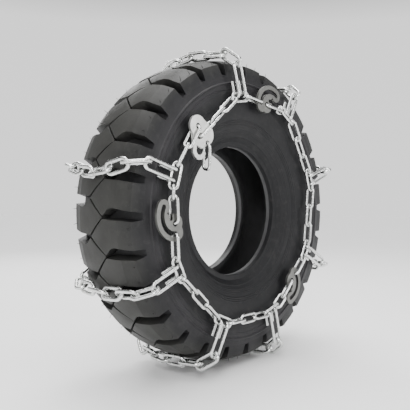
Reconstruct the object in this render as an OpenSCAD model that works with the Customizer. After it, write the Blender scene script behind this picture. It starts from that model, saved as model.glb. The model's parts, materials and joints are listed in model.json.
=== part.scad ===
// Ladder-pattern tire chain fitted on a small pneumatic industrial tire.
// Origin at the wheel centre. The wheel axis is Y, the closing side faces -Y, +Z is up.
// Angles run counterclockwise from +X as seen from the closing side.

/* [Tire] */
// Crown radius of the tread
crown_r = 297; // [290:1:300]
// Radius of the tread's shoulder corner
shoulder_r = 284; // [278:1:286]
// Half width of the tread at the shoulder corner
shoulder_y = 75.5; // [70:0.5:76]
// Largest half width of the sidewalls
section_y = 84.5; // [78:0.5:85]
// Radius of the bead seats, for a 10 inch rim
bead_r = 127; // [120:1:130]
// Half distance between the outer faces of the beads
bead_y = 53; // [48:1:60]
// Wall thickness of the casing
casing = 12; // [10:0.5:14]
// Number of lugs in each of the two rows
lug_count = 28; // [24:2:32]
// Depth of the cross grooves
groove_depth = 17; // [10:1:18]

/* [Side chain] */
// Rod diameter of the side chain links
side_rod = 5.6; // [5:0.1:5.6]
// Outer length of a side chain link
side_len = 51.9; // [51.7:0.1:52.3]
// Outer width of a side chain link
side_wid = 20.4; // [20:0.1:21]
// Distance from the wheel's middle plane to each side chain
side_y = 97.5; // [97:0.1:99]
// Mean radius of both side chains at the cross chains
side_r = 215; // [214:0.1:215]

/* [Cross chains] */
// Rod diameter of the cross chain links
cross_rod = 7; // [6:0.1:7]
// Outer length of a cross chain link
cross_len = 51.5; // [51.5:0.1:52]
// Outer width of a cross chain link
cross_wid = 26; // [25.5:0.1:26.5]
// Rod diameter of the end hooks
hook_rod = 6; // [5.5:0.1:6.2]
// Bend radius of a hook's closed end, at the rod's centre
hook_bend = 9.5; // [9.3:0.1:9.6]
// Length of a hook's returned tip
hook_tip = 24; // [15:1:24]

/* [Tensioning cams] */
// Plate thickness of the cams
cam_t = 5; // [4:0.1:6]
// Turn of a cam from tight to slack
cam_turn = 95; // [60:5:95]
// Swing of the slot link over the same turn
slot_swing = 35; // [20:1:35]
// Distance from the cam's pivot to the slot link's rod when tight
cam_reach = 17.5; // [17:0.1:19]
// Width of the cam's slot
slot_w = 8.6; // [8.4:0.1:9]

/* [Closure] */
// Plate thickness of the closure plate
plate_t = 5; // [4:0.1:6]
// Radius of the holes that take a side chain link
link_hole_r = 5.2; // [5.1:0.1:5.3]

/* [Hidden] */
// Angles of the eight cross chains, how far out each one's side links sit, and how far
// each has slipped round the tread
ANGLES = [163.6, 206.2, 247, 287.5, 334.9, 378.6, 419.8, 460.3];
SITS_OUT = [0, 5, 2, -5, -11, -4, 12, 3];
SLIP = [4.1, 0.2, -2.5, -0.7, 0.7, -0.8, 0.2, 3.1];
CROSSES = len(ANGLES);
// Radius and half-width of a cross chain's path: the hook's end, the far bend centre of the
// first link, and the next two joints
CROSS_PATH = [[283.6, 98], [300.2, 78.2], [305.3, 37.5], [308.1, 0]];
CROSS_TILT = [84, -24, 45, -45, 24, -84];
SLIP_SHARE = [0, 0.3, 0.8, 1, 0.8, 0.3, 0];
GALV = [0.74, 0.76, 0.78];
PLATE = [0.80, 0.82, 0.84];
RUBBER = [0.16, 0.16, 0.17];
CLEAR = 0.3;
ROUND = 48;
ROD_FN = 24;

// Slack between two side links and between two cross links
side_play = 1;
cross_play = 1.2;
side_pitch = side_len - 2 * side_rod - side_play;
side_crown = side_len - side_rod;
// From the middle of a joint between two links to the axis of a link's own crown, and to
// the centre of its bend
crown_gap = (side_rod + side_play) / 2;
knot_reach = side_wid / 2 - side_rod - side_play / 2;
side_half = (side_wid - side_rod) / 2;
// Tilts of links that turn between two neighbours, and the lead link's share of its corner
lean = 25;
lead_tilt = 49;
corner_share = 0.78;
CLOSING_TILTS = [115, 35, 97];
wrap_r = (side_rod + hook_rod) / 2 + CLEAR;
// Cam plate: rim outside the slot, disc round the pivot, lobe at the tight end, wrench hole
cam_rim = 8.2;
disc_r = 16.5;
lobe_x = 4;
wrench_w = 7;
wrench_at = [-9, 12];
// Closure plate, about its eye: heading of its chain, keyhole, body, nose, jaw and tail hole
plate_heading = 57;
key_x = 4.9;
key_z = 17.2;
key_play = 8;
eye_r = 19;
eye_to_body = [19, -13];
body_r = 20;
nose = [10, -38.5];
jaw = [4, -42];
jaw_r = 12;
jaw_w = 8;
tail_at = [24, -28];
hook_mouth = 10;
jaw_span = [165, 335];
JAW_NECK = [[-13, -12], [-1, -22], [-8.8, -1], [-14.5, -1]];
// The plate's strap lies this far inside the tangents of its round ends
inset = 0.5;
NOSE_ROOT = [[-9, -13], [-2, -34]];
// Cross grooves: angle of one of the outer row, where they start beside the middle of the tread,
// slope of their floor, half width at the start and at the far end, and length
lug_phase = 1.7;
groove_y = 7;
groove_slope = 12;
GROOVE_HALF = [2, 13.5];
groove_len = 95;
groove_h = 60;
// Radial width of the tread's buttress, above its joint with the sidewalls
buttress = 34;

// Plain links between the junctions of the inner side chain
INNER_LINKS = [3, 3, 3, 3, 3, 3, 3, 5];

function radial(a) = [cos(a), 0, sin(a)];
function tangent(a) = [-sin(a), 0, cos(a)];
function unit(v) = v / norm(v);
function mix(a, b, k) = a + (b - a) * k;
function at(a, r, y) = r * radial(a) + [0, y, 0];

// Places children with local x along ux, local y along uy and the origin at o
module frame(o, ux, uy) {
    uz = cross(ux, uy);
    multmatrix([
        [ux.x, uy.x, uz.x, o.x],
        [ux.y, uy.y, uz.y, o.y],
        [ux.z, uy.z, uz.z, o.z],
        [0, 0, 0, 1]]) children();
}

// One chain link, lying in the XY plane with its length along X
module link(len, wid, rod) {
    bend = (wid - rod) / 2;
    half = round(50 * (len - wid)) / 100;
    for (side = [-1, 1]) {
        translate([side * half, 0, 0]) rotate([0, 0, -90 * side])
            rotate_extrude(angle = 180, $fn = ROUND) translate([bend, 0]) circle(d = rod, $fn = ROD_FN);
        translate([-half, side * bend, 0]) rotate([0, 90, 0]) cylinder(d = rod, h = 2 * half, $fn = ROD_FN);
    }
}

// A side chain link between two joints; tilt 0 lies flat against the sidewall, 90 stands on edge
module side_link(a, b, tilt, slack = 0) {
    along = unit(b - a);
    flat = cross(along, [0, 1, 0]);
    frame((a + b) / 2, along, cos(tilt) * flat + sin(tilt) * [0, 1, 0])
        link(norm(b - a) + 2 * side_rod + side_play + slack, side_wid, side_rod);
}

// The junction link under cross chain j: its bend centres, on the closing side (-1) or the
// inner side (1), before it (-1) and after it (1)
function junction_r(j) = side_r + SITS_OUT[j % CROSSES];
function bend(j, side, end) = at(ANGLES[j % CROSSES], junction_r(j), side * side_y)
    + end * (side_len - side_wid) / 2 * tangent(ANGLES[j % CROSSES]);
// The run of chain from junction j to the next one: its direction, its start and its end
function run_along(j, side) = unit(bend(j + 1, side, -1) - bend(j, side, 1));
function run_from(j, side) = bend(j, side, 1) + knot_reach * run_along(j, side);
function run_to(j, side) = bend(j + 1, side, -1) - knot_reach * run_along(j, side);
// The junction link before each cam leans, to let its neighbours stand on edge
function junction_tilt(j, side) = (side < 0 && (j % CROSSES == 0 || j == 3 || j == 6)) ? -lean : 0;

module junction_link(j, side) {
    reach = knot_reach * tangent(ANGLES[j]);
    side_link(bend(j, side, -1) - reach, bend(j, side, 1) + reach, junction_tilt(j, side));
}

// count plain links from junction j to the next one
module plain_links(j, side, count) {
    a = run_from(j, side);
    b = run_to(j, side);
    for (k = [0:count - 1])
        side_link(mix(a, b, k / count), mix(a, b, (k + 1) / count),
            k == count - 1 ? 90 + junction_tilt(j + 1, side) : k % 2 == 0 ? 90 : 0);
}

/* Cross chains */

function cross_knots(j) = [for (k = [0:6]) let (p = CROSS_PATH[min(k, 6 - k)])
    at(ANGLES[j] + SLIP[j] * SLIP_SHARE[k], p[0], (k < 3 ? -1 : 1) * p[1])];

module cross_chain(j) {
    knots = cross_knots(j);
    color(GALV) for (k = [0:5]) {
        along = unit(knots[k + 1] - knots[k]);
        past = (hook_rod + cross_play) / 2;
        round_bend = cross_wid / 2 - cross_rod - cross_play / 2;
        a = knots[k] + [-past, round_bend, 0, 0, 0, -round_bend][k] * along;
        b = knots[k + 1] + [round_bend, 0, 0, 0, -round_bend, past][k] * along;
        mid = (a + b) / 2;
        round_way = unit(cross([0, 1, 0], mid));
        flat = unit(round_way - along * (round_way * along));
        up = cross(along, flat);
        len = norm(b - a) + 2 * cross_rod + cross_play;
        frame(mid, along, cos(CROSS_TILT[k]) * flat + sin(CROSS_TILT[k]) * up)
            link(max(cross_len, len), cross_wid, cross_rod);
    }
}

// A cross chain's end hook. The side chain's bar lies on the local Y axis,
// the closed end points along X and the outside of the wheel is +Z.
module hook_shape(reach) {
    bend_x = round(100 * (reach - hook_bend)) / 100;
    translate([bend_x, 0, wrap_r]) rotate([0, 0, -90])
        rotate_extrude(angle = 180, $fn = ROUND)
            translate([hook_bend, 0]) circle(d = hook_rod, $fn = ROD_FN);
    for (side = [-1, 1]) translate([0, side * hook_bend, 0]) {
        translate([0, 0, wrap_r]) rotate([0, 90, 0]) cylinder(d = hook_rod, h = bend_x, $fn = ROD_FN);
        frame([0, 0, 0], [0, 0, 1], [-1, 0, 0]) rotate_extrude(angle = 180, $fn = ROUND)
            translate([wrap_r, 0]) circle(d = hook_rod, $fn = ROD_FN);
        translate([0, 0, -wrap_r]) rotate([0, 90, 0]) cylinder(d = hook_rod, h = hook_tip, $fn = ROD_FN);
    }
}

// The end hook of cross chain j on one side, from the junction link's outer bar to the cross chain
module hook(j, side) {
    tilt = junction_tilt(j, side);
    bar = at(ANGLES[j], junction_r(j) + side_half * cos(tilt), side * side_y - side_half * sin(tilt));
    knots = cross_knots(j);
    span = (side < 0 ? knots[0] : knots[6]) - bar;
    pull = unit(span);
    normal = unit(cross(pull, tangent(ANGLES[j])));
    out = normal * sign(normal.y * side);
    turn = asin(wrap_r / norm(span));
    along = pull * cos(turn) - out * sin(turn);
    face = pull * sin(turn) + out * cos(turn);
    color(GALV) frame(bar, along, cross(face, along)) hook_shape(norm(span) * cos(turn));
}

/* Outer side chain */

// The junction link of cross chain j and the plain links up to the next one
module outer_run(j) {
    color(GALV) {
        junction_link(j, -1);
        plain_links(j, -1, 3);
    }
}
// The junction link of cross chain j and the leaning link that leads to a cam
module outer_lead(j) {
    color(GALV) {
        junction_link(j, -1);
        lead_link(j);
    }
}

// The cam after junction j hangs between two bend centres: the lead link's far one and the
// next junction link's. The lead link takes up part of the corner.
cam_span = 2 * knot_reach + side_pitch + cam_reach + side_crown;
function lead_along(j) = unit(mix(tangent(ANGLES[j]), run_along(j, -1), corner_share));
function lead_end(j) =
    let (from = bend(j, -1, 1), to = bend(j + 1, -1, -1) - from, reach = to * lead_along(j))
    from + (reach - sqrt(reach * reach - to * to + cam_span * cam_span)) * lead_along(j);
function cam_along(j) = unit(bend(j + 1, -1, -1) - lead_end(j));
function anchor_knot(j) = lead_end(j) + knot_reach * cam_along(j);
function cam_pivot(j) = anchor_knot(j) + (side_pitch + crown_gap) * cam_along(j);
function slot_link_knot(j) = bend(j + 1, -1, -1) - knot_reach * cam_along(j);

module lead_link(j) {
    reach = knot_reach * lead_along(j);
    side_link(bend(j, -1, 1) + reach, lead_end(j) + reach, lead_tilt, 1);
}
module cam_anchor_link(j) {
    near = anchor_knot(j);
    color(GALV) side_link(near, near + cam_along(j) * side_pitch, 90 + lean);
}
module cam_slot_link(j) {
    far = slot_link_knot(j);
    color(GALV) side_link(far - cam_along(j) * side_pitch, far, 90);
}

// Centre of the slot, in the cam's own plane about its pivot, where the slot link
// stands when it has swung by s and the cam has turned with it
function slot_point(s) =
    let (reach = cam_reach + side_crown,
         rod = [-side_crown * sin(s), side_crown * cos(s) - reach],
         turn = cam_turn * s / slot_swing)
    [rod.x * cos(turn) + rod.y * sin(turn), rod.y * cos(turn) - rod.x * sin(turn)];
function slot_normal(s) =
    let (d = slot_point(s + 0.1) - slot_point(s - 0.1)) [d.y, -d.x] / norm(d) * -1;
function slot_offset(s, d) = slot_point(s) + d * slot_normal(s);

module cam(j) {
    rim = slot_w / 2 + cam_rim;
    steps = 24;
    sweep = [for (k = [0:steps]) slot_swing * k / steps];
    back = [for (k = [0:steps]) sweep[steps - k]];
    along = cam_along(j);
    loose = slot_point(slot_swing);
    color(PLATE) frame(cam_pivot(j), cross(-along, [0, -1, 0]), -along) difference() {
        union() {
            translate([0, 0, -cam_t / 2]) linear_extrude(cam_t)
                polygon(concat([[0, 0]], [for (s = sweep) slot_offset(s, rim)]));
            cylinder(r = disc_r, h = cam_t, center = true, $fn = ROUND);
            translate([loose.x, loose.y, 0]) cylinder(r = rim, h = cam_t, center = true, $fn = ROUND);
            translate([lobe_x, -cam_reach + lobe_x / 2, 0])
                cylinder(r = rim + 1, h = cam_t, center = true, $fn = ROUND);
        }
        cylinder(r = link_hole_r, h = 2 * cam_t, center = true, $fn = ROUND);
        translate([0, 0, -cam_t]) linear_extrude(2 * cam_t)
            polygon(concat([for (s = sweep) slot_offset(s, slot_w / 2)],
                           [for (s = back) slot_offset(s, -slot_w / 2)]));
        for (s = [0, slot_swing]) translate([slot_point(s).x, slot_point(s).y, 0])
            cylinder(d = slot_w, h = 2 * cam_t, center = true, $fn = ROUND);
        translate([wrench_at.x, wrench_at.y, 0]) {
            for (end = [-1, 1]) translate([0, end * wrench_w / 2, 0])
                cylinder(d = wrench_w, h = 2 * cam_t, center = true, $fn = ROUND);
            cube([wrench_w, wrench_w, 2 * cam_t], center = true);
        }
    }
}

/* Closure */

plate_dir = [cos(plate_heading), 0, sin(plate_heading)];
closing_to = bend(8, -1, -1) + knot_reach * plate_dir;
plate_knot = closing_to + side_pitch * plate_dir;
plate_pivot = plate_knot + (side_pitch + crown_gap) * plate_dir;
keyhole = plate_pivot + [key_x, 0, -key_z];
key_dir = unit(bend(7, -1, 1) - keyhole);
closing_from = bend(7, -1, 1) - knot_reach * key_dir;
key_near = keyhole + key_dir * crown_gap;
key_far = key_near + key_dir * side_pitch;

// Links between the last cross chain and the closure plate's keyhole
module outer_chain_h() {
    middle = (closing_from + key_far) / 2;
    color(GALV) {
        junction_link(7, -1);
        side_link(closing_from, middle, CLOSING_TILTS[0]);
        side_link(middle, key_far, CLOSING_TILTS[1]);
        side_link(key_far, key_near, CLOSING_TILTS[2]);
    }
}
// Links between the closure plate's eye and the first cross chain
module outer_chain_eye() {
    color(GALV) {
        side_link(plate_pivot - plate_dir * crown_gap, plate_knot, 90 + lean);
        side_link(plate_knot, closing_to, lead_tilt);
    }
}

module closure_plate() {
    body = [eye_to_body.x, eye_to_body.y];
    span = norm(body);
    skew = atan2(body.y, body.x);
    rise = asin((body_r - eye_r) / span);
    edge = function (c, r, a) c + r * [cos(a), sin(a)];
    key_swing_r = norm([key_x, key_z]);
    key_a = atan2(-key_z, key_x);
    color(PLATE) frame(plate_pivot, [1, 0, 0], [0, 0, 1]) difference() {
        union() {
            translate([0, 0, -plate_t / 2]) linear_extrude(plate_t) polygon([
                edge([0, 0], eye_r - inset, skew + 90 + rise), edge([0, 0], eye_r - inset, skew - 90 - rise),
                edge(body, body_r - inset, skew - 90 - rise), edge(body, body_r - inset, skew + 90 + rise)]);
            cylinder(r = eye_r, h = plate_t, center = true, $fn = ROUND);
            translate([body.x, body.y, 0]) cylinder(r = body_r, h = plate_t, center = true, $fn = ROUND);
            translate([0, 0, -plate_t / 2]) linear_extrude(plate_t) polygon([
                NOSE_ROOT[0], edge(body, body_r - 2 * inset, -60), nose, NOSE_ROOT[1]]);
            translate([jaw.x, jaw.y, 0]) {
                rotate([0, 0, jaw_span[0]]) rotate_extrude(angle = jaw_span[1] - jaw_span[0], $fn = ROUND)
                    translate([jaw_r - jaw_w / 2, -plate_t / 2]) square([jaw_w, plate_t]);
                for (end = jaw_span) rotate([0, 0, end]) translate([jaw_r, 0, 0])
                    cylinder(d = jaw_w + inset, h = plate_t, center = true, $fn = ROUND);
            }
            translate([0, 0, -plate_t / 2]) linear_extrude(plate_t) polygon([
                JAW_NECK[0], JAW_NECK[1], jaw + JAW_NECK[2], jaw + JAW_NECK[3]]);
        }
        cylinder(r = link_hole_r, h = 2 * plate_t, center = true, $fn = ROUND);
        for (swing = [-key_play, key_play]) rotate([0, 0, key_a + swing]) translate([key_swing_r, 0, 0])
            cylinder(r = link_hole_r, h = 2 * plate_t, center = true, $fn = ROUND);
        translate([0, 0, -plate_t]) rotate([0, 0, key_a - key_play])
            rotate_extrude(angle = 2 * key_play, $fn = ROUND)
                translate([key_swing_r - link_hole_r, 0]) square([2 * link_hole_r, 2 * plate_t]);
        translate([tail_at.x, tail_at.y, 0])
            cylinder(r = link_hole_r, h = 2 * plate_t, center = true, $fn = ROUND);
    }
}

tail_pivot = plate_pivot + [tail_at.x, 0, tail_at.y];
module tail_link() {
    top = tail_pivot - [0, 0, crown_gap];
    color(GALV) side_link(top, top - [0, 0, side_pitch], 90);
}

/* Inner side chain */

// The inner chain's links that start at the given junctions
module inner_run(starts) {
    color(GALV) for (j = starts) {
        junction_link(j, 1);
        plain_links(j, 1, INNER_LINKS[j]);
    }
}
function inner_closing(k) = mix(run_from(7, 1), run_to(7, 1), k / INNER_LINKS[7]);
module closing_run() {
    inner_run([6]);
    color(GALV) {
        junction_link(7, 1);
        for (k = [0, 1, 3, 4]) side_link(inner_closing(k), inner_closing(k + 1), k % 2 == 0 ? 90 : 0);
    }
}
// Open rod hook that joins the two ends of the inner side chain
module inner_closing_hook() {
    a = inner_closing(2);
    b = inner_closing(3);
    along = unit(b - a);
    color(GALV) difference() {
        side_link(a, b, 90);
        frame((a + b) / 2 + [0, side_half, 0], along, [0, 1, 0])
            translate([hook_mouth / 2, 0, 0]) cube([hook_mouth, 2 * side_rod, 2 * side_rod], center = true);
    }
}

/* Tire */

// Points on a cubic curve in the (radius, half width) plane
function curve(a, b, c, d, n) = [for (k = [0:n]) let (t = k / n, u = 1 - t)
    u * u * u * a + 3 * u * u * t * b + 3 * u * t * t * c + t * t * t * d];
function mirrored(pts) = [for (k = [len(pts) - 1:-1:0]) [pts[k].x, -pts[k].y]];

joint_r = shoulder_r - buttress;
joint_y = section_y - 2;
crown_curve = [for (k = [0:6]) let (y = shoulder_y * k / 6)
    [crown_r - (crown_r - shoulder_r) * pow(y / shoulder_y, 2), y]];
liner_r = crown_r - groove_depth - casing;
liner_curve = curve([joint_r, joint_y - casing], [joint_r + 14, joint_y - casing - 1],
    [liner_r, joint_y - 26], [liner_r, joint_y - 44], 8);
side_outer = concat(
    curve([joint_r, joint_y], [joint_r - 25, section_y + 1], [joint_r - 62, section_y + 1],
        [bead_r + 40, section_y - 12], 10),
    curve([bead_r + 36, section_y - 13.5], [bead_r + 22, section_y - 20],
        [bead_r + 14, bead_y + 4], [bead_r + 10, bead_y], 6));
side_inner = curve([bead_r, bead_y - 18], [bead_r + 26, bead_y - 12],
    [bead_r + 40, joint_y - casing - 1], [joint_r, joint_y - casing], 10);

module revolve(section) {
    rotate([90, 0, 0]) rotate_extrude($fn = 96) polygon(section);
}

// One cross groove of the tread: narrow at the middle, wide and deeper at the shoulder
module groove(angle, side) {
    start = at(angle, crown_r - groove_depth + 1, side * groove_y);
    along = side * cos(groove_slope) * [0, 1, 0] - sin(groove_slope) * radial(angle);
    near = GROOVE_HALF[0];
    far = GROOVE_HALF[1];
    across = tangent(angle);
    up = cross(along, across);
    frame(start, along, up * radial(angle) > 0 ? across : -across)
        linear_extrude(groove_h) polygon([[0, -near], [0, near], [groove_len, far], [groove_len, -far]]);
}

module tire_tread() {
    section = concat(mirrored(crown_curve), crown_curve, [[joint_r, joint_y]], liner_curve,
        mirrored(liner_curve), [[joint_r, -joint_y]]);
    color(RUBBER) difference() {
        revolve(section);
        for (k = [0:lug_count - 1], side = [-1, 1])
            groove((k + (side > 0 ? 0.5 : 0)) * 360 / lug_count + lug_phase, side);
    }
}
module sidewall(side) {
    section = concat(side_outer, [[bead_r, bead_y]], side_inner);
    color(RUBBER) revolve([for (p = section) [p.x, -side * p.y]]);
}

tire_tread();
sidewall(-1);  // tire_sidewall_outer
sidewall(1);  // tire_sidewall_inner
outer_lead(0);  // outer_chain_a
outer_run(1);  // outer_chain_b_c
outer_run(2);  // outer_chain_c_d
outer_lead(3);  // outer_chain_d
outer_run(4);  // outer_chain_e_f
outer_run(5);  // outer_chain_f_g
outer_lead(6);  // outer_chain_g
outer_chain_h();
outer_chain_eye();
cam(0);  // cam_1
cam_anchor_link(0);  // cam_anchor_link_1
cam_slot_link(0);  // cam_slot_link_1
cam(6);  // cam_2
cam_anchor_link(6);  // cam_anchor_link_2
cam_slot_link(6);  // cam_slot_link_2
cam(3);  // cam_3
cam_anchor_link(3);  // cam_anchor_link_3
cam_slot_link(3);  // cam_slot_link_3
closure_plate();
tail_link();
inner_run([0, 1]);  // inner_chain_a_c
inner_run([2, 3]);  // inner_chain_c_e
inner_run([4, 5]);  // inner_chain_e_g
closing_run();  // inner_chain_g_a
inner_closing_hook();
cross_chain(0);  // cross_chain_a
cross_chain(1);  // cross_chain_b
cross_chain(2);  // cross_chain_c
cross_chain(3);  // cross_chain_d
cross_chain(4);  // cross_chain_e
cross_chain(5);  // cross_chain_f
cross_chain(6);  // cross_chain_g
cross_chain(7);  // cross_chain_h
hook(0, -1);  // outer_hook_a
hook(1, -1);  // outer_hook_b
hook(2, -1);  // outer_hook_c
hook(3, -1);  // outer_hook_d
hook(4, -1);  // outer_hook_e
hook(5, -1);  // outer_hook_f
hook(6, -1);  // outer_hook_g
hook(7, -1);  // outer_hook_h
hook(0, 1);  // inner_hook_a
hook(1, 1);  // inner_hook_b
hook(2, 1);  // inner_hook_c
hook(3, 1);  // inner_hook_d
hook(4, 1);  // inner_hook_e
hook(5, 1);  // inner_hook_f
hook(6, 1);  // inner_hook_g
hook(7, 1);  // inner_hook_h
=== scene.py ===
"""Looks of a snow chain set on a small industrial tire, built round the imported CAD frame.

Angles run counterclockwise from +X as seen from -Y, the side with the cams. Lengths are in metres.
"""

import json
import math
import random

import bmesh
import bpy
import numpy as np
from mathutils import Matrix, Vector

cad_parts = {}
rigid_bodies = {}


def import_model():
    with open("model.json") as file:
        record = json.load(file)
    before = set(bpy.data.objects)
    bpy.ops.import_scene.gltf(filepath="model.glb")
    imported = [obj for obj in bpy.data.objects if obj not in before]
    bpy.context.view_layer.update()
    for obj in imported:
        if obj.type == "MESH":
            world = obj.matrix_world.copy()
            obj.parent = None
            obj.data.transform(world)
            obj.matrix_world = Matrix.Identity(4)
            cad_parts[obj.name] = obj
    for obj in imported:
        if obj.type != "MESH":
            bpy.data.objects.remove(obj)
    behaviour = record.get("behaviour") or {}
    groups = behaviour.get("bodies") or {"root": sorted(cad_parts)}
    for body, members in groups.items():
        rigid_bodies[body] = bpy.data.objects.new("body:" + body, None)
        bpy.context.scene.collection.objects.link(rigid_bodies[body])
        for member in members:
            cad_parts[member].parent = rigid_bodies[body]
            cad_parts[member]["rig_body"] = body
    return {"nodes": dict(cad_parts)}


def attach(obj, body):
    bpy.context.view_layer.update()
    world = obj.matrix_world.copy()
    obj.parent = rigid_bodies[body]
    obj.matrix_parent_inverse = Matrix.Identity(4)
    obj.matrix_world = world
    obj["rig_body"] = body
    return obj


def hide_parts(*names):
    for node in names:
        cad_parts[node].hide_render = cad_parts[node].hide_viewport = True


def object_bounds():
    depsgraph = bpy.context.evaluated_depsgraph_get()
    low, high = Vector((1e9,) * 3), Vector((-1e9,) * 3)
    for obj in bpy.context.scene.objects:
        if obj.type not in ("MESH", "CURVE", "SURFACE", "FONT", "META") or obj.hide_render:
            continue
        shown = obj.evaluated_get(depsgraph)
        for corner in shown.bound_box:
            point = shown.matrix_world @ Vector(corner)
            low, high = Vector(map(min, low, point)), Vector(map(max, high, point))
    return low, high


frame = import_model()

CAD_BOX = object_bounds()
NODES = frame["nodes"]
MM = 0.001
random.seed(7)

# ---------------------------------------------------------------- camera, light and floor

CAMERA_TURN, CAMERA_RISE, CAMERA_ROLL = -47.81, 0.757, 0.294
CAMERA_AWAY = 1.1487
CAMERA_LENS = 49.17
CAMERA_SHIFT = (-0.0245, 0.0139)


def make_camera():
    turn, rise, roll = (math.radians(a) for a in (CAMERA_TURN, CAMERA_RISE, CAMERA_ROLL))
    back = Vector((math.sin(turn) * math.cos(rise), -math.cos(turn) * math.cos(rise), math.sin(rise)))
    right = (-back).cross(Vector((0, 0, 1))).normalized()
    up = right.cross(-back)
    level_right = right * math.cos(roll) + up * math.sin(roll)
    level_up = up * math.cos(roll) - right * math.sin(roll)
    data = bpy.data.cameras.new("camera")
    data.sensor_width = 36
    data.lens = CAMERA_LENS
    data.shift_x, data.shift_y = CAMERA_SHIFT
    data.clip_start, data.clip_end = 0.02, 60
    camera = bpy.data.objects.new("camera", data)
    bpy.context.scene.collection.objects.link(camera)
    place = Matrix((level_right, level_up, back)).transposed().to_4x4()
    place.translation = back * CAMERA_AWAY
    camera.matrix_world = place
    bpy.context.scene.camera = camera


def area_light(name, place, size, power):
    """A soft light that faces the middle of the wheel."""
    data = bpy.data.lights.new(name, "AREA")
    data.shape = "RECTANGLE"
    data.size, data.size_y = size
    data.energy = power
    light = bpy.data.objects.new(name, data)
    bpy.context.scene.collection.objects.link(light)
    light.location = place
    light.rotation_mode = "QUATERNION"
    light.rotation_quaternion = (-Vector(place)).to_track_quat("-Z", "Y")


# The room's brightness by height: a pale wall at the level of the floor, a dimmer one above it
# and a pale ceiling, as metal needs something dark to reflect
ROOM = [(0.0, 1.35), (0.30, 1.3), (0.42, 0.12), (0.72, 0.10), (0.80, 2.9), (1.0, 3.0)]
# Each area light's place, size and power in watts
LIGHTS = {
    "key": ((-1.7, -1.3, 1.2), (0.5, 1.0), 34),
    "front": ((0.7, -1.9, 0.7), (0.4, 0.9), 13),
    "top": ((0.1, 0.2, 2.0), (0.8, 0.8), 26),
    "back": ((0.9, 1.8, 1.2), (1.0, 1.0), 22)}
FLOOR_RADIUS = 14
FLOOR_GAP = 0.0005


def make_studio():
    world = bpy.data.worlds.new("studio")
    world.use_nodes = True
    tree = world.node_tree
    where = tree.nodes.new("ShaderNodeTexCoord")
    split = tree.nodes.new("ShaderNodeSeparateXYZ")
    room = tree.nodes.new("ShaderNodeValToRGB")
    for stop in ROOM[2:]:
        room.color_ramp.elements.new(stop[0])
    for element, (height, shade) in zip(room.color_ramp.elements, ROOM):
        element.position = height
        element.color = (shade, shade, shade, 1)
    tree.links.new(where.outputs["Generated"], split.inputs[0])
    tree.links.new(split.outputs[2], room.inputs["Fac"])
    tree.links.new(room.outputs["Color"], tree.nodes["Background"].inputs["Color"])
    tree.nodes["Background"].inputs["Strength"].default_value = 1.0
    bpy.context.scene.world = world
    for name, (place, size, power) in LIGHTS.items():
        area_light(name, place, size, power)
    bm = bmesh.new()
    bmesh.ops.create_circle(bm, cap_ends=True, segments=96, radius=FLOOR_RADIUS)
    floor = mesh_object("floor", bm, [floor_paint()])
    floor.location.z = CAD_BOX[0].z - FLOOR_GAP


def mesh_object(name, bm, materials):
    data = bpy.data.meshes.new(name)
    bm.to_mesh(data)
    bm.free()
    piece = bpy.data.objects.new(name, data)
    bpy.context.scene.collection.objects.link(piece)
    for m in materials:
        data.materials.append(m)
    return piece


# ---------------------------------------------------------------- materials


class Paint:
    """A node material with a principled shader and object coordinates."""

    def __init__(self, name):
        self.material = bpy.data.materials.new(name)
        self.material.use_nodes = True
        self.tree = self.material.node_tree
        self.shader = self.tree.nodes["Principled BSDF"]
        self.where = self.add("ShaderNodeTexCoord").outputs["Object"]

    def add(self, kind, **settings):
        node = self.tree.nodes.new(kind)
        for key, value in settings.items():
            setattr(node, key, value)
        return node

    def join(self, out, into):
        self.tree.links.new(out, into)

    def put(self, node, **values):
        for key, value in values.items():
            socket = node.inputs[key]
            if isinstance(value, bpy.types.NodeSocket):
                self.join(value, socket)
            else:
                socket.default_value = value
        return node

    def noise(self, scale, detail=3.0, rough=0.5, stretch=None):
        node = self.add("ShaderNodeTexNoise")
        self.put(node, Scale=scale, Detail=detail, Roughness=rough)
        if stretch:
            mapping = self.add("ShaderNodeMapping")
            mapping.inputs["Scale"].default_value = stretch
            self.join(self.where, mapping.inputs["Vector"])
            self.join(mapping.outputs["Vector"], node.inputs["Vector"])
        else:
            self.join(self.where, node.inputs["Vector"])
        return node.outputs["Fac"]

    def ramp(self, value, stops):
        node = self.add("ShaderNodeValToRGB")
        ramp = node.color_ramp
        while len(ramp.elements) < len(stops):
            ramp.elements.new(0.5)
        for element, (place, colour) in zip(ramp.elements, stops):
            element.position = place
            element.color = (*colour, 1) if isinstance(colour, tuple) else (colour, colour, colour, 1)
        self.join(value, node.inputs["Fac"])
        return node.outputs["Color"]

    def span(self, value, low, high, to_low, to_high):
        node = self.add("ShaderNodeMapRange")
        for i, number in enumerate((low, high, to_low, to_high)):
            node.inputs[i + 1].default_value = number
        self.join(value, node.inputs[0])
        return node.outputs[0]

    def math(self, what, a, b):
        node = self.add("ShaderNodeMath", operation=what)
        for socket, value in zip(node.inputs, (a, b)):
            if isinstance(value, bpy.types.NodeSocket):
                self.join(value, socket)
            else:
                socket.default_value = value
        return node.outputs[0]

    def mix(self, a, b, share, how="MIX"):
        node = self.add("ShaderNodeMix", data_type="RGBA", blend_type=how)
        for socket, value in ((node.inputs[0], share), (node.inputs[6], a), (node.inputs[7], b)):
            if isinstance(value, bpy.types.NodeSocket):
                self.join(value, socket)
            else:
                socket.default_value = value
        return node.outputs[2]

    def bump(self, height, distance, strength=1.0, under=None):
        node = self.add("ShaderNodeBump")
        self.put(node, Strength=strength, Distance=distance, Height=height)
        if under:
            self.join(under, node.inputs["Normal"])
        return node.outputs["Normal"]


def floor_paint():
    p = Paint("floor_paint")
    p.put(p.shader, Roughness=0.9)
    p.put(p.shader, **{"Base Color": p.ramp(p.noise(3), [(0.3, 0.93), (0.7, 0.95)])})
    return p.material


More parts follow.
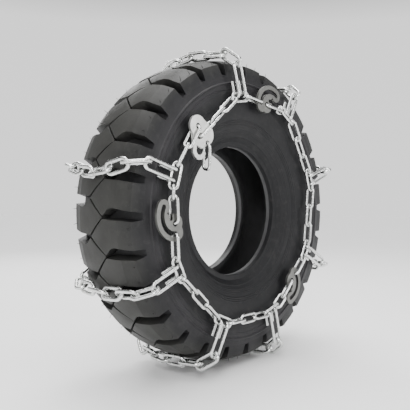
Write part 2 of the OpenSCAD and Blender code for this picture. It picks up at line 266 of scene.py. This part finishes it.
def galvanised(name, tone, dull, grain=520):
    """Bright zinc plating: faint clouds, small scuffs that are duller, and a fine dimpled skin."""
    p = Paint(name)
    clouds = p.ramp(p.noise(60, 4), [(0.3, tuple(0.82 * c for c in tone)), (0.7, tone)])
    scuffs = p.ramp(p.noise(210, 5, 0.65), [(0.54, 0.0), (0.66, 1.0)])
    grime = p.ramp(p.noise(34, 5, 0.7), [(0.50, 0.0), (0.72, 0.6)])
    worn = p.mix(clouds, (0.34, 0.34, 0.33, 1), p.math("MULTIPLY", scuffs, 0.5))
    colour = p.mix(worn, (0.30, 0.28, 0.25, 1), p.math("MULTIPLY", grime, 0.5))
    rough = p.math("ADD", p.span(p.noise(160, 4), 0.25, 0.75, dull - 0.07, dull + 0.08),
                   p.math("MULTIPLY", scuffs, 0.14))
    skin = p.bump(p.noise(grain, 4), 0.00030, 0.35)
    dents = p.bump(p.noise(150, 2), 0.0008, 0.25, skin)
    p.put(p.shader, Metallic=1.0, Normal=dents, Roughness=rough)
    p.put(p.shader, **{"Base Color": colour})
    return p.material


def plate_steel(name, tone, dull):
    """Zinc-plated stamped plate: brushed one way, with scratches and duller patches."""
    p = Paint(name)
    brush = p.noise(90, 4, 0.6, (1, 1, 14))
    clouds = p.ramp(p.noise(45, 4), [(0.3, tuple(0.77 * c for c in tone)), (0.7, tone)])
    scratch = p.ramp(p.noise(260, 5, 0.7, (4, 1, 1)), [(0.60, 0.0), (0.66, 1.0)])
    colour = p.mix(clouds, (*(0.52 * c for c in tone), 1), p.math("MULTIPLY", scratch, 0.5))
    rough = p.math("ADD", p.span(brush, 0.3, 0.7, dull, dull + 0.16), p.math("MULTIPLY", scratch, 0.1))
    fine = p.bump(brush, 0.0003, 0.3)
    p.put(p.shader, Metallic=1.0, Normal=p.bump(p.noise(420, 4), 0.0003, 0.4, fine), Roughness=rough)
    p.put(p.shader, **{"Base Color": colour})
    return p.material


def rubber(name):
    """Black rubber: lighter on the tread and shoulder as painted light, darker on the sidewall and
    darker still at the bead, with random dust and a grey liner.

    The painted light and shade run in bands by distance from the axle. The liner is what lies inside
    both the walls and the crown.
    """
    p = Paint(name)
    axes = p.add("ShaderNodeSeparateXYZ")
    p.join(p.where, axes.inputs[0])
    x, z = axes.outputs[0], axes.outputs[2]
    radius = p.math("SQRT", p.math("ADD", p.math("MULTIPLY", x, x), p.math("MULTIPLY", z, z)), 0.0)
    wander = p.math("ADD", radius, p.span(p.noise(14, 3), 0.3, 0.7, -0.006, 0.006))
    zone = p.span(wander, 0.120, 0.300, 0.0, 1.0)
    # Painted light and shade: the colour steps lighter towards the tread, as if the studio lamps lit it,
    # and darker towards the bead
    painted_light_bands = p.ramp(zone, [(0.0, (0.004, 0.004, 0.005)), (0.30, (0.005, 0.005, 0.006)),
                          (0.58, (0.006, 0.006, 0.007)), (0.68, (0.015, 0.014, 0.016)),
                          (0.82, (0.008, 0.008, 0.009)), (0.97, (0.024, 0.024, 0.022))])
    depth = p.math("ABSOLUTE", axes.outputs[1], 0.0)
    wall = p.span(radius, 0.127, 0.183, 0.043, 0.074)
    roof = p.span(depth, 0.040, 0.070, 0.2692, 0.2620)
    inside = p.math("MULTIPLY", p.math("LESS_THAN", radius, roof), p.math("LESS_THAN", depth, wall))
    painted_light_bands = p.mix(painted_light_bands, (0.060, 0.060, 0.062, 1), p.math("MULTIPLY", inside, 0.9))
    cloud = p.ramp(p.noise(22, 5, 0.6), [(0.25, 0.72), (0.75, 1.22)])
    dust = p.ramp(p.noise(75, 5, 0.7), [(0.52, 0.0), (0.74, 1.0)])
    base = p.mix(painted_light_bands, cloud, 1.0, "MULTIPLY")
    colour = p.mix(base, (0.16, 0.155, 0.145, 1), p.math("MULTIPLY", dust, 0.10))
    rough = p.math("ADD", p.span(p.noise(30, 4), 0.3, 0.7, 0.46, 0.60), p.math("MULTIPLY", dust, 0.15))
    grain = p.bump(p.noise(1500, 3), 0.0002, 0.5)
    wear = p.bump(p.noise(120, 5, 0.6), 0.0010, 0.25, grain)
    p.put(p.shader, Roughness=rough, Normal=wear)
    p.put(p.shader, **{"Specular IOR Level": 0.27})
    p.put(p.shader, **{"Base Color": colour})
    return p.material


SIDE_ZINC = galvanised("side_chain_zinc", (0.80, 0.81, 0.80), 0.20)
CROSS_ZINC = galvanised("cross_chain_zinc", (0.76, 0.77, 0.76), 0.22, 420)
HOOK_ZINC = galvanised("hook_zinc", (0.78, 0.79, 0.78), 0.21, 470)
PLATE_ZINC = plate_steel("plate_zinc", (0.80, 0.80, 0.78), 0.34)
# The cams get a much darker copy of the plate zinc: painted shade for the dark surroundings they reflect
CAM_PAINTED_SHADE_ZINC = plate_steel("cam_zinc_painted_shade", (0.21, 0.21, 0.20), 0.40)
RUBBER = rubber("tire_rubber")

make_camera()
make_studio()

# ---------------------------------------------------------------- chain links


def islands(node):
    """The separate solids of a CAD node, each as its vertices and triangles."""
    bm = bmesh.new()
    bm.from_mesh(NODES[node].data)
    bmesh.ops.remove_doubles(bm, verts=bm.verts, dist=1e-6)
    bmesh.ops.triangulate(bm, faces=bm.faces)
    bm.verts.ensure_lookup_table()
    seen, found = set(), []
    for start in bm.verts:
        if start.index in seen:
            continue
        stack, members = [start], []
        seen.add(start.index)
        while stack:
            v = stack.pop()
            members.append(v)
            for e in v.link_edges:
                w = e.other_vert(v)
                if w.index not in seen:
                    seen.add(w.index)
                    stack.append(w)
        number = {v.index: i for i, v in enumerate(members)}
        faces = {f for v in members for f in v.link_faces}
        triangles = sorted([number[v.index] for v in f.verts] for f in faces)
        found.append((np.array([v.co for v in members]), np.array(triangles)))
    bm.free()
    return found


def link_axes(points, triangles):
    """Centre, axes (along, across, through) and size of a link, from its surface's moments."""
    corners = points[triangles]
    area = np.linalg.norm(np.cross(corners[:, 1] - corners[:, 0], corners[:, 2] - corners[:, 0]), axis=1)
    middle = corners.mean(axis=1)
    centre = (middle * area[:, None]).sum(0) / area.sum()
    spread = sum(((c - centre) * area[:, None]).T @ (c - centre)
                 for c in (corners[:, 0], corners[:, 1], corners[:, 2], middle))
    axes = np.linalg.eigh(spread)[1].T[::-1]
    axes[2] = np.cross(axes[0], axes[1])
    local = (points - centre) @ axes.T
    low, high = local.min(0), local.max(0)
    return centre + ((low + high) / 2) @ axes, axes, high - low


RING = 18
BEND_STEPS = 14
WELD_HALF = 2.3 * MM
WELD_SWELL = 0.10


def link_mesh(length, width, rod, weld_side, seed):
    """A bent and welded rod link in its own frame, as a closed tube along a stadium path."""
    turn = (width - rod) / 2
    half = (length - width) / 2
    path = []
    coarse = np.linspace(-half, half, 9)
    fine = np.linspace(-2 * WELD_HALF, 2 * WELD_HALF, 13)
    straight = sorted(set(np.round(np.concatenate([coarse, fine]), 6)))
    straight = [s for s in straight if abs(s) <= half + 1e-6]
    for side in (-1, 1):
        path += [(-side * s, side * turn, abs(s)) for s in straight[:-1]]
        for k in range(BEND_STEPS):
            a = math.pi * k / BEND_STEPS
            path.append((-side * (half + turn * math.sin(a)), side * turn * math.cos(a), None))
    rng = random.Random(seed)
    burr = [rng.uniform(0, 6.28) for _ in range(3)]
    points = []
    for x, y, off in path:
        middle = x if off is not None else math.copysign(half, x)
        out = Vector((x - middle, y, 0)).normalized()
        on_weld = off is not None and (y > 0) == weld_side
        swell = math.exp(-((off / WELD_HALF) ** 2) * 1.6) if on_weld else 0.0
        for k in range(RING):
            t = 2 * math.pi * k / RING
            rough = 0.035 * swell * (math.sin(3 * t + burr[0]) + math.sin(5 * t + burr[1]))
            r = rod / 2 * (0.985 + WELD_SWELL * swell + rough)
            points.append(Vector((x, y, 0)) + out * (r * math.cos(t)) + Vector((0, 0, r * math.sin(t))))
    n = len(path)
    faces = []
    for i in range(n):
        j = (i + 1) % n
        for k in range(RING):
            m = (k + 1) % RING
            faces.append((i * RING + k, i * RING + m, j * RING + m, j * RING + k))
    return np.array(points), faces


def make_links(node, paint):
    """Bent and welded links in the places of a CAD node's links."""
    points, faces, base = [], [], 0
    for number, (cloud, triangles) in enumerate(islands(node)):
        centre, axes, size = link_axes(cloud, triangles)
        local, quads = link_mesh(size[0], size[1], size[2], number % 2 == 0, number * 13 + len(node))
        points.append(centre + local @ axes)
        faces += [tuple(base + v for v in q) for q in quads]
        base += len(local)
    data = bpy.data.meshes.new(node + "_links")
    data.from_pydata(np.concatenate(points).tolist(), [], faces)
    data.materials.append(paint)
    bm = bmesh.new()
    bm.from_mesh(data)
    bmesh.ops.recalc_face_normals(bm, faces=bm.faces)
    bm.to_mesh(data)
    bm.free()
    data.shade_smooth()
    piece = bpy.data.objects.new(node + "_links", data)
    bpy.context.scene.collection.objects.link(piece)
    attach(piece, NODES[node]["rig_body"])
    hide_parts(node)


# ---------------------------------------------------------------- stamped plates and hooks


def make_plate(node, paint):
    """The CAD plate with its edges rounded, as a stamped and tumbled plate has them."""
    bm = bmesh.new()
    bm.from_mesh(NODES[node].data)
    bmesh.ops.remove_doubles(bm, verts=bm.verts, dist=2e-6)
    bmesh.ops.dissolve_limit(bm, angle_limit=math.radians(0.5), verts=bm.verts, edges=bm.edges)
    piece = mesh_object(node + "_plate", bm, [paint])
    bevel = piece.modifiers.new("edges", "BEVEL")
    bevel.width = 0.7 * MM
    bevel.segments = 3
    bevel.limit_method = "ANGLE"
    bevel.angle_limit = math.radians(50)
    bevel.use_clamp_overlap = True
    piece.data.shade_smooth()
    piece.data.set_sharp_from_angle(angle=math.radians(35))
    weighted = piece.modifiers.new("normals", "WEIGHTED_NORMAL")
    weighted.keep_sharp = True
    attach(piece, NODES[node]["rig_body"])
    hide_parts(node)


def repaint(node, paint):
    """Keeps a CAD node's own mesh and gives it a material."""
    for s in NODES[node].material_slots:
        s.material = paint


# ---------------------------------------------------------------- tire

LUGS = 28
PITCH = 360 / LUGS
PHASE = 1.7
CROWN, SHOULDER, SHOULDER_Y = 297.0, 282.5, 75.5
RIDGE_Y, RIDGE_DROP = 50.0, 4.6
# The floor between the lugs: its radius in the middle, how far it falls, and where the casing's edge is
FLOOR_R, FLOOR_FALL, EDGE_Y = 280.0, 18.5, 79.4
# Half width of a lug, as a share of the pitch, on its trailing and leading edge, at each
# distance from the middle of the tread, and how far its face is lowered there
LUG = [
    (-15.0, 0.02, 0.02, 1.6), (-11.0, 0.075, 0.075, 0.8), (2, 0.245, 0.245, 0.1), (13, 0.395, 0.395, 0),
    (18, 0.462, 0.462, 0), (22, 0.456, 0.420, 0), (30, 0.446, 0.310, 0), (38, 0.435, 0.262, 0),
    (RIDGE_Y, 0.424, 0.285, 0), (62, 0.408, 0.325, 0), (SHOULDER_Y, 0.385, 0.350, 0)]
# Below the shoulder: distance from the middle, radius, and the same two half widths
BUTTRESS = [(77.3, 275.0, 0.392, 0.362), (79.4, 264.5, 0.410, 0.385), (80.4, 258.5, 0.430, 0.410)]
COLUMNS = 9
HAIR_Y = 71
HAIR_PLACES = (-0.22, 0.20)
HAIR_FOOT, HAIR_TIP = 0.55 * MM, 0.30 * MM


def crown(y):
    """Radius of the lugs' faces: a gentle arch, then a straight fall to the shoulder."""
    if abs(y) <= RIDGE_Y:
        return CROWN - RIDGE_DROP * (y / RIDGE_Y) ** 2
    share = (abs(y) - RIDGE_Y) / (SHOULDER_Y - RIDGE_Y)
    return CROWN - RIDGE_DROP - share * (CROWN - RIDGE_DROP - SHOULDER)


def tread_floor(y):
    return FLOOR_R - FLOOR_FALL * (abs(y) / EDGE_Y) ** 1.3


def at(angle, r, y):
    a = math.radians(angle)
    return (r * math.cos(a) * MM, y * MM, r * math.sin(a) * MM)


def lug_share(trail, lead, k):
    """Where column k of a lug lies between its trailing and leading edge, as a share of the pitch."""
    return -trail + (trail + lead) * k / (COLUMNS - 1)


def add_lug(bm, angle, side):
    """One lug as a lofted face with sloped walls down to the tread's floor."""
    rows = [(v, crown(v) - drop, a, b) for v, a, b, drop in LUG] + [tuple(row) for row in BUTTRESS]
    top = []
    for v, r, trail, lead in rows:
        line = []
        for k in range(COLUMNS):
            share = lug_share(trail, lead, k)
            line.append(bm.verts.new(at(angle - side * share * PITCH, r, side * v)))
        top.append(line)
    for i in range(len(rows) - 1):
        for k in range(COLUMNS - 1):
            bm.faces.new((top[i][k], top[i][k + 1], top[i + 1][k + 1], top[i + 1][k]))
    last = COLUMNS - 1
    edge = [(i, 0) for i in range(len(rows))]
    edge += [(len(rows) - 1, k) for k in range(1, COLUMNS)]
    edge += [(i, last) for i in range(len(rows) - 2, -1, -1)]
    edge += [(0, k) for k in range(last - 1, 0, -1)]
    low = []
    for i, k in edge:
        v, r, trail, lead = rows[i]
        share = lug_share(trail, lead, k)
        flare = 0.010 + 0.022 * min(1, max(0, (v - 14) / 20))
        middle = (lead - trail) / 2
        wide = share + flare * (1 if share > middle else -1) * (0.2 if 0 < k < last else 1)
        deep = min(tread_floor(v) - 1.5, r - 3.0)
        inner = v - 1.0 if i == 0 else v
        low.append(bm.verts.new(at(angle - side * wide * PITCH, deep, side * inner)))
    for n in range(len(edge)):
        m = (n + 1) % len(edge)
        a, b = top[edge[n][0]][edge[n][1]], top[edge[m][0]][edge[m][1]]
        bm.faces.new((a, b, low[m], low[n]))
    bm.faces.new(low)


def add_hair(bm, angle, r, y, length, lean):
    """A vent hair: a thin tapered rubber whisker left by the mould."""
    ends = [at(angle, r - 1, y), at(angle + lean, r + length, y + lean)]
    a = math.radians(angle)
    round_wheel = Vector((-math.sin(a), 0, math.cos(a)))
    across_wheel = Vector((0, 1, 0))
    turns = [2 * math.pi * k / 6 for k in range(6)]
    outward = [round_wheel * math.cos(t) + across_wheel * math.sin(t) for t in turns]
    rings = []
    for end, thick in zip(ends, (HAIR_FOOT, HAIR_TIP)):
        rings.append([bm.verts.new(Vector(end) + thick * out) for out in outward])
    for k in range(6):
        bm.faces.new((rings[0][k], rings[0][(k + 1) % 6], rings[1][(k + 1) % 6], rings[1][k]))
    bm.faces.new(rings[1])
    bm.faces.new(rings[0][::-1])


def make_tread():
    """The two rows of lugs, half a pitch apart, and two vent hairs on each lug."""
    bm = bmesh.new()
    for k in range(LUGS):
        add_lug(bm, (k + 0.5) * PITCH + PHASE, -1)
        add_lug(bm, k * PITCH + PHASE, 1)
    bmesh.ops.recalc_face_normals(bm, faces=bm.faces)
    lugs = mesh_object("tire_lugs", bm, [RUBBER])
    bevel = lugs.modifiers.new("edges", "BEVEL")
    bevel.width = 1.1 * MM
    bevel.segments = 2
    bevel.limit_method = "ANGLE"
    bevel.angle_limit = math.radians(38)
    lugs.data.shade_smooth()
    lugs.data.set_sharp_from_angle(angle=math.radians(6.5))
    bm = bmesh.new()
    for k in range(LUGS):
        for side in (-1, 1):
            for share in HAIR_PLACES:
                centre = (k + (0.5 if side < 0 else 0)) * PITCH + PHASE
                length, lean = random.uniform(4.5, 7.5), random.uniform(-0.5, 0.5)
                add_hair(bm, centre + share * PITCH, crown(HAIR_Y), side * HAIR_Y, length, lean)
    hairs = mesh_object("tire_vent_hairs", bm, [RUBBER])
    hairs.data.shade_smooth()
    return lugs, hairs


CASING_TURNS = 192
RIDGE_STEP = 0.8
# Raised rings on the sidewall, from the shoulder to the bead: radius, half width, height
SIDEWALL_RINGS = [
    (246.5, 2.6, 2.2), (236.0, 1.4, 0.8), (229.0, 0.9, 0.5), (212.0, 0.9, 0.4),
    (176.5, 0.9, 0.8), (173.0, 0.9, 0.8), (169.5, 0.9, 0.8),
    (160.0, 0.9, 0.6), (157.0, 0.9, 0.6), (154.0, 0.9, 0.6), (146.0, 1.4, 0.9)]


def bezier(a, b, c, d, n):
    """Points along a cubic curve from a to d, in n steps."""
    steps = [k / n for k in range(n + 1)]
    return [tuple((1 - t) ** 3 * p + 3 * (1 - t) ** 2 * t * q + 3 * (1 - t) * t * t * r + t ** 3 * s
                  for p, q, r, s in zip(a, b, c, d)) for t in steps]


def ridges(points, where):
    """Adds small raised rings, each (radius, half width, height), to a section of (radius, y) points."""
    fine = []
    for (r0, y0), (r1, y1) in zip(points, points[1:]):
        n = max(1, round(math.hypot(r1 - r0, y1 - y0) / RIDGE_STEP))
        fine += [(r0 + (r1 - r0) * k / n, y0 + (y1 - y0) * k / n) for k in range(n)]
    fine.append(points[-1])
    out = []
    for i, (r, y) in enumerate(fine):
        a, b = fine[max(0, i - 1)], fine[min(len(fine) - 1, i + 1)]
        flat = abs(b[0] - a[0]) / (math.hypot(b[0] - a[0], b[1] - a[1]) or 1)
        out.append((r, y + flat * sum(h * max(0, 1 - ((r - c) / w) ** 2) for c, w, h in where)))
    return out


def make_casing():
    """The tire without its lugs: one closed section of (radius, y) points turned round the axle."""
    ground = [(tread_floor(y), y) for y in np.linspace(0, EDGE_Y, 14)]
    shoulder = [(257.0, 81.0), (252.5, 82.0)]
    flank = bezier((250, 82.5), (225, 85.5), (188, 85.5), (167, 72.5), 26)
    heel = bezier((163, 71), (149, 64.5), (141, 57), (137, 53), 10)
    outside = ridges(shoulder + flank + heel, SIDEWALL_RINGS)
    inside = bezier((127, 35), (153, 41), (167, 69.5), (250, 70.5), 18)
    liner = bezier((250, 70.5), (264, 69.5), (268, 56.5), (268, 38.5), 8)
    bead = [(130, 53.0), (127.6, 52.4), (127, 51)]
    half = ground + outside + bead + inside + liner[1:]
    section = half + [(r, -y) for r, y in half[::-1] if abs(y) > 1e-6]
    bm = bmesh.new()
    angles = [360 * k / CASING_TURNS for k in range(CASING_TURNS)]
    loops = [[bm.verts.new(at(angle, r, y)) for r, y in section] for angle in angles]
    n = len(section)
    for k in range(CASING_TURNS):
        a, b = loops[k], loops[(k + 1) % CASING_TURNS]
        for i in range(n):
            j = (i + 1) % n
            bm.faces.new((a[i], a[j], b[j], b[i]))
    bmesh.ops.recalc_face_normals(bm, faces=bm.faces)
    casing = mesh_object("tire_casing", bm, [RUBBER])
    casing.data.shade_smooth()
    casing.data.set_sharp_from_angle(angle=math.radians(32))
    return casing


lugs, hairs = make_tread()
casing = make_casing()
for piece in (lugs, hairs, casing):
    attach(piece, "tire")
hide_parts("tire_tread")
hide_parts("tire_sidewall_outer", "tire_sidewall_inner")

for node in sorted(NODES):
    if node.startswith(("outer_chain", "inner_chain", "cam_anchor", "cam_slot", "tail_link")):
        make_links(node, SIDE_ZINC)
    elif node.startswith("cross_chain"):
        make_links(node, CROSS_ZINC)
    elif node.startswith(("outer_hook", "inner_hook")):
        repaint(node, HOOK_ZINC)
    elif node == "inner_closing_hook":
        repaint(node, SIDE_ZINC)
    elif node.startswith("cam_"):
        make_plate(node, CAM_PAINTED_SHADE_ZINC)
    elif node == "closure_plate":
        make_plate(node, PLATE_ZINC)
